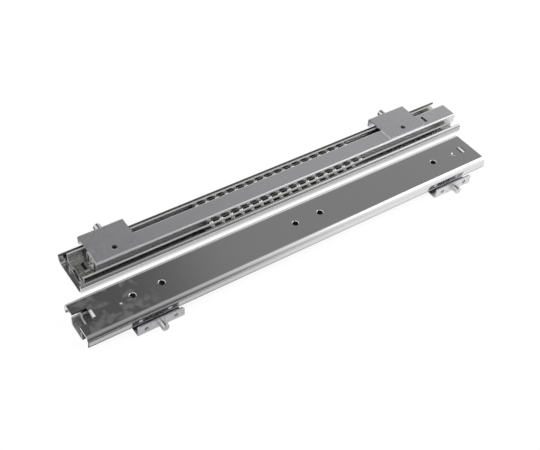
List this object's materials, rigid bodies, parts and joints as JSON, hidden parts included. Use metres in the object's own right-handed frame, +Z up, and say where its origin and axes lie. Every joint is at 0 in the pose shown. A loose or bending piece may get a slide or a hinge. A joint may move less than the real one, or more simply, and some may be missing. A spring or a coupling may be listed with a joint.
{
  "type": "heavy-duty telescopic slide pair",
  "caption": "Left and right full-extension ball-bearing slides: three nested rolled-steel rails, rolling ball cages, and angle brackets with studs for a sliding load.",
  "frame": {"origin": "on the surface that the pair lies on, midway between the two slides along and across", "axes": "+X along the slides, the way the right slide draws out; +Y across, towards the right slide; +Z up, the way the right slide faces"},
  "size_m": [0.5275, 0.1526, 0.0198],
  "materials": {
    "outer_zinc": "bright zinc plate, rolled, satin along the length",
    "middle_zinc": "bright zinc plate, rolled, polished in the ball tracks",
    "inner_zinc": "zinc plate, dull satin",
    "bracket_zinc": "zinc plate, dull, sheared edges",
    "cage_steel": "bright zinc plate, thin strip",
    "ball_steel": "polished hardened steel, light grease",
    "stud_steel": "turned, bright",
    "black_rubber": "moulded, matt",
    "pale_plastic": "moulded, satin"
  },
  "bodies": {
    "outer_members": {"right_outer_rail": "outer_zinc", "right_rear_pad": "black_rubber", "left_outer_rail": "outer_zinc", "left_rear_pad": "black_rubber"},
    "right_middle": {"right_middle_rail": "middle_zinc", "right_front_bumper": "pale_plastic"},
    "right_inner": {"right_inner_rail": "inner_zinc", "right_rear_bracket": "bracket_zinc", "right_front_bracket": "bracket_zinc", "right_rear_stud": "stud_steel", "right_front_stud": "stud_steel"},
    "right_outer_ball_set": {"right_outer_cage": "cage_steel", "right_outer_balls": "ball_steel"},
    "right_inner_ball_set": {"right_inner_cage": "cage_steel", "right_inner_balls": "ball_steel"},
    "left_middle": {"left_middle_rail": "middle_zinc", "left_front_bumper": "pale_plastic"},
    "left_inner": {"left_inner_rail": "inner_zinc", "left_rear_bracket": "bracket_zinc", "left_front_bracket": "bracket_zinc", "left_rear_stud": "stud_steel", "left_front_stud": "stud_steel"},
    "left_outer_ball_set": {"left_outer_cage": "cage_steel", "left_outer_balls": "ball_steel"},
    "left_inner_ball_set": {"left_inner_cage": "cage_steel", "left_inner_balls": "ball_steel"}
  },
  "joints": [
    {"name": "right_middle_slide", "type": "slide", "parent": "outer_members", "child": "right_middle", "axis": [1, 0, 0], "range_m": [0, 0.25]},
    {"name": "right_inner_slide", "type": "slide", "parent": "right_middle", "child": "right_inner", "axis": [1, 0, 0], "range_m": [-0.0035, 0.2465]},
    {"name": "right_outer_cage_roll", "type": "slide", "parent": "outer_members", "child": "right_outer_ball_set", "axis": [1, 0, 0], "range_m": [0, 0.125]},
    {"name": "right_inner_cage_roll", "type": "slide", "parent": "right_middle", "child": "right_inner_ball_set", "axis": [1, 0, 0], "range_m": [-0.00175, 0.12325]},
    {"name": "left_middle_slide", "type": "slide", "parent": "outer_members", "child": "left_middle", "axis": [-1, 0, 0], "range_m": [0, 0.25]},
    {"name": "left_inner_slide", "type": "slide", "parent": "left_middle", "child": "left_inner", "axis": [-1, 0, 0], "range_m": [0, 0.25]},
    {"name": "left_outer_cage_roll", "type": "slide", "parent": "outer_members", "child": "left_outer_ball_set", "axis": [-1, 0, 0], "range_m": [0, 0.125]},
    {"name": "left_inner_cage_roll", "type": "slide", "parent": "left_middle", "child": "left_inner_ball_set", "axis": [-1, 0, 0], "range_m": [0, 0.125]}
  ],
  "couplings": [
    {"joint": "right_outer_cage_roll", "follows": "right_middle_slide", "ratio": 0.5},
    {"joint": "right_inner_cage_roll", "follows": "right_inner_slide", "ratio": 0.5},
    {"joint": "left_outer_cage_roll", "follows": "left_middle_slide", "ratio": 0.5},
    {"joint": "left_inner_cage_roll", "follows": "left_inner_slide", "ratio": 0.5}
  ]
}
